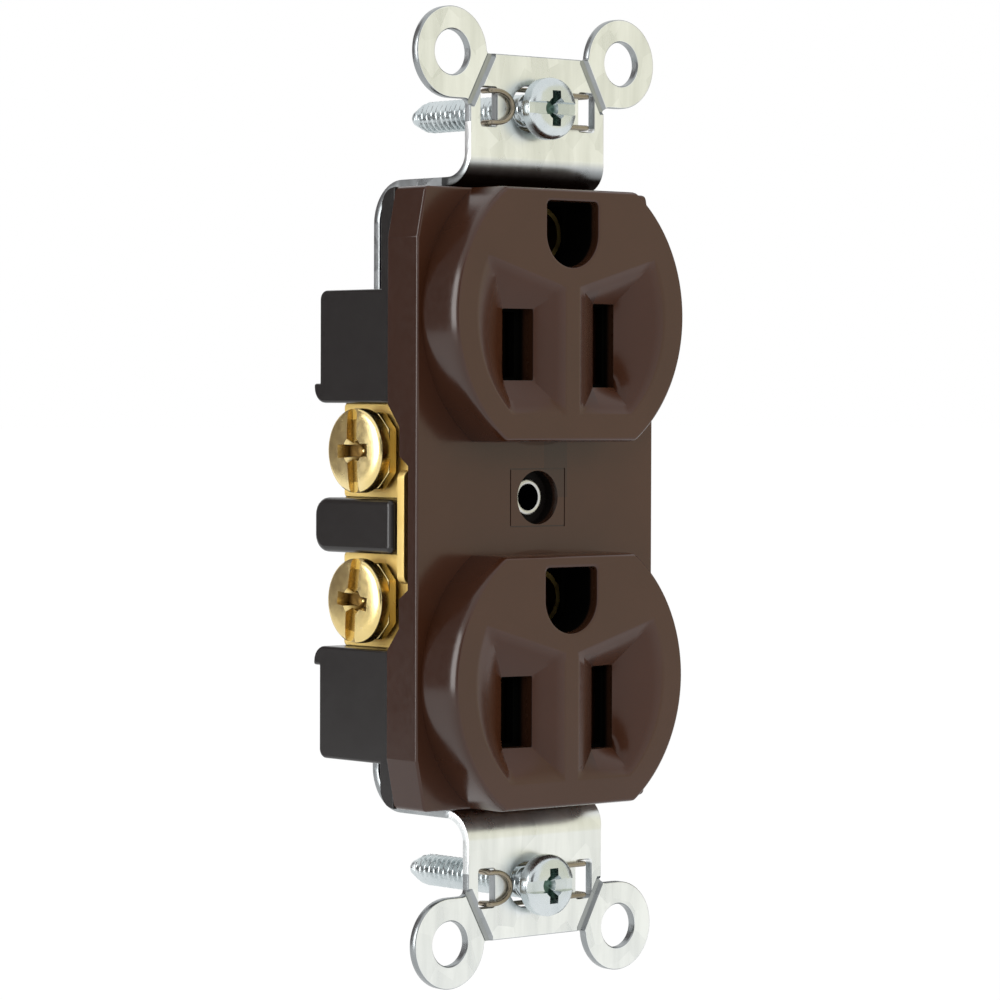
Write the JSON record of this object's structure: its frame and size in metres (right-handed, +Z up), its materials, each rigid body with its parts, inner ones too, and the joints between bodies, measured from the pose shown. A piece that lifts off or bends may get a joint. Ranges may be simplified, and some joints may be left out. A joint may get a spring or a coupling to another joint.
{
  "type": "duplex wall outlet",
  "caption": "Grounded wall outlet with two sockets in a moulded body, on a steel strap that wraps round the back, with side terminal screws and box screws.",
  "frame": {"origin": "on the back face of the strap's ears, midway between the two box screws", "axes": "+X to the right seen from the front, +Y into the wall along the box screws, +Z up"},
  "size_m": [0.034, 0.0258, 0.104],
  "materials": {
    "cover_plastic": "glossy dark brown thermoset moulding",
    "base_plastic": "satin black-brown moulding",
    "strap_steel": "galvanized, faint spangle",
    "brass_contact": "rolled brass",
    "brass_screw": "polished brass plate on steel",
    "neutral_metal": "tin plated brass",
    "nickel_screw": "nickel plate on steel",
    "zinc_screw": "clear zinc plate on steel",
    "green_screw": "green tinted zinc plate",
    "clip_wire": "copper coated spring wire",
    "rivet_steel": "zinc plated steel"
  },
  "bodies": {
    "device": {"face_cover": "cover_plastic", "rear_base": "base_plastic", "mounting_strap": "strap_steel", "hot_contact_strip": "brass_contact", "neutral_contact_strip": "neutral_metal", "ground_contact_upper": "brass_contact", "ground_contact_lower": "brass_contact", "ground_rivets": "rivet_steel", "center_post": "rivet_steel", "screw_clip_top": "clip_wire", "screw_clip_bottom": "clip_wire"},
    "hot_upper_clamp": {"hot_clamp_upper": "brass_screw"},
    "hot_upper_screw": {"hot_screw_upper": "brass_screw"},
    "hot_lower_clamp": {"hot_clamp_lower": "brass_screw"},
    "hot_lower_screw": {"hot_screw_lower": "brass_screw"},
    "neutral_upper_clamp": {"neutral_clamp_upper": "nickel_screw"},
    "neutral_upper_screw": {"neutral_screw_upper": "nickel_screw"},
    "neutral_lower_clamp": {"neutral_clamp_lower": "nickel_screw"},
    "neutral_lower_screw": {"neutral_screw_lower": "nickel_screw"},
    "grounding_screw": {"ground_screw": "green_screw"},
    "top_box_screw": {"box_screw_top": "zinc_screw"},
    "bottom_box_screw": {"box_screw_bottom": "zinc_screw"}
  },
  "joints": [
    {"name": "hot_upper_clamp_slide", "type": "slide", "parent": "device", "child": "hot_upper_clamp", "axis": [-1, 0, 0], "range_m": [-0.00024, 0.00317]},
    {"name": "hot_upper_screw_turn", "type": "hinge", "parent": "hot_upper_clamp", "child": "hot_upper_screw", "pos_m": [-0.01435, 0.0101, 0.005], "axis": [-1, 0, 0], "range_deg": [-110, 1440]},
    {"name": "hot_lower_clamp_slide", "type": "slide", "parent": "device", "child": "hot_lower_clamp", "axis": [-1, 0, 0], "range_m": [-0.00024, 0.00317]},
    {"name": "hot_lower_screw_turn", "type": "hinge", "parent": "hot_lower_clamp", "child": "hot_lower_screw", "pos_m": [-0.01435, 0.0101, -0.0111], "axis": [-1, 0, 0], "range_deg": [-110, 1440]},
    {"name": "neutral_upper_clamp_slide", "type": "slide", "parent": "device", "child": "neutral_upper_clamp", "axis": [1, 0, 0], "range_m": [-0.00024, 0.00317]},
    {"name": "neutral_upper_screw_turn", "type": "hinge", "parent": "neutral_upper_clamp", "child": "neutral_upper_screw", "pos_m": [0.01435, 0.0101, 0.005], "axis": [1, 0, 0], "range_deg": [-110, 1440]},
    {"name": "neutral_lower_clamp_slide", "type": "slide", "parent": "device", "child": "neutral_lower_clamp", "axis": [1, 0, 0], "range_m": [-0.00024, 0.00317]},
    {"name": "neutral_lower_screw_turn", "type": "hinge", "parent": "neutral_lower_clamp", "child": "neutral_lower_screw", "pos_m": [0.01435, 0.0101, -0.0111], "axis": [1, 0, 0], "range_deg": [-110, 1440]},
    {"name": "grounding_screw_turn", "type": "hinge", "parent": "device", "child": "grounding_screw", "pos_m": [0.0135, 0.0103, 0.0271], "axis": [1, 0, 0], "range_deg": [-90, 1440]},
    {"name": "top_box_screw_turn", "type": "hinge", "parent": "device", "child": "top_box_screw", "pos_m": [0, 0, 0.04167], "axis": [0, 1, 0], "continuous": true},
    {"name": "bottom_box_screw_turn", "type": "hinge", "parent": "device", "child": "bottom_box_screw", "pos_m": [0, 0, -0.04167], "axis": [0, 1, 0], "continuous": true}
  ],
  "couplings": [
    {"joint": "hot_upper_screw_turn", "follows": "hot_upper_clamp_slide", "rad_per_m": 7915.8},
    {"joint": "hot_lower_screw_turn", "follows": "hot_lower_clamp_slide", "rad_per_m": 7915.8},
    {"joint": "neutral_upper_screw_turn", "follows": "neutral_upper_clamp_slide", "rad_per_m": 7915.8},
    {"joint": "neutral_lower_screw_turn", "follows": "neutral_lower_clamp_slide", "rad_per_m": 7915.8}
  ]
}
